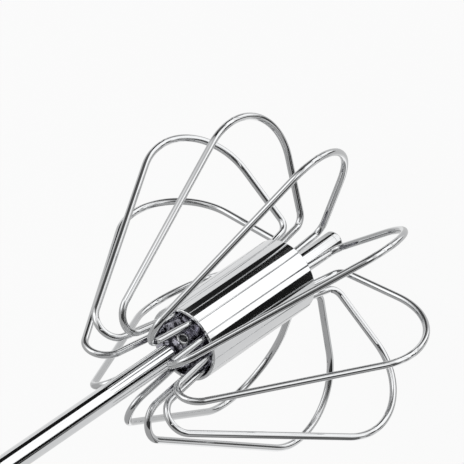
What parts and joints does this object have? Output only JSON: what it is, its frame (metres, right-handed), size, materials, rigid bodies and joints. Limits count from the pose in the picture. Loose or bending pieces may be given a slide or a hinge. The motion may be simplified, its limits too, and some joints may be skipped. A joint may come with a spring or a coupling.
{
  "type": "push-down rotary egg beater",
  "caption": "Push-down egg beater: a twisted strip in the tube handle spins a shaft and its head of bent wire loops, and a spring lifts the handle again.",
  "frame": {"origin": "centre of the flat foot at the shaft's tip", "axes": "+Z along the shaft from the tip to the handle, +X along the first wire loop and the width of the hanging loop"},
  "size_m": [0.0802, 0.0773, 0.3048],
  "materials": {
    "polished_steel": "bright polished stainless steel",
    "wire_steel": "bright drawn stainless wire",
    "core_metal": "dull grey sintered metal",
    "plain_steel": "plain unpolished steel",
    "black_plastic": "black moulded plastic, fine texture",
    "bush_plastic": "natural white acetal"
  },
  "bodies": {
    "handle": {"handle_tube": "polished_steel", "lower_collar": "black_plastic", "guide_bush": "bush_plastic", "end_cap": "black_plastic", "hanging_loop": "wire_steel", "twist_strip": "plain_steel", "strip_pin": "plain_steel", "return_spring": "plain_steel"},
    "slider": {"thrust_washer": "plain_steel"},
    "rotor": {"drive_nut": "plain_steel", "shaft_tube": "polished_steel", "shaft_tip": "polished_steel", "head_sleeve": "polished_steel", "upper_core": "core_metal", "lower_core": "core_metal", "boss_pin": "plain_steel", "lower_core_pin": "plain_steel", "wire_01": "wire_steel", "wire_02": "wire_steel", "wire_03": "wire_steel", "wire_04": "wire_steel", "wire_05": "wire_steel", "wire_06": "wire_steel", "wire_07": "wire_steel", "wire_08": "wire_steel", "wire_09": "wire_steel", "wire_10": "wire_steel"}
  },
  "joints": [
    {"name": "shaft_slide", "type": "slide", "parent": "handle", "child": "slider", "axis": [0, 0, 1], "range_m": [0, 0.055], "stiffness_N_per_m": 150, "springref_m": -0.02, "deforming": ["return_spring"]},
    {"name": "head_spin", "type": "hinge", "parent": "slider", "child": "rotor", "pos_m": [0, 0, 0], "axis": [0, 0, 1], "range_deg": [0, 620]}
  ],
  "couplings": [
    {"joint": "head_spin", "follows": "shaft_slide", "rad_per_m": 196.35}
  ]
}
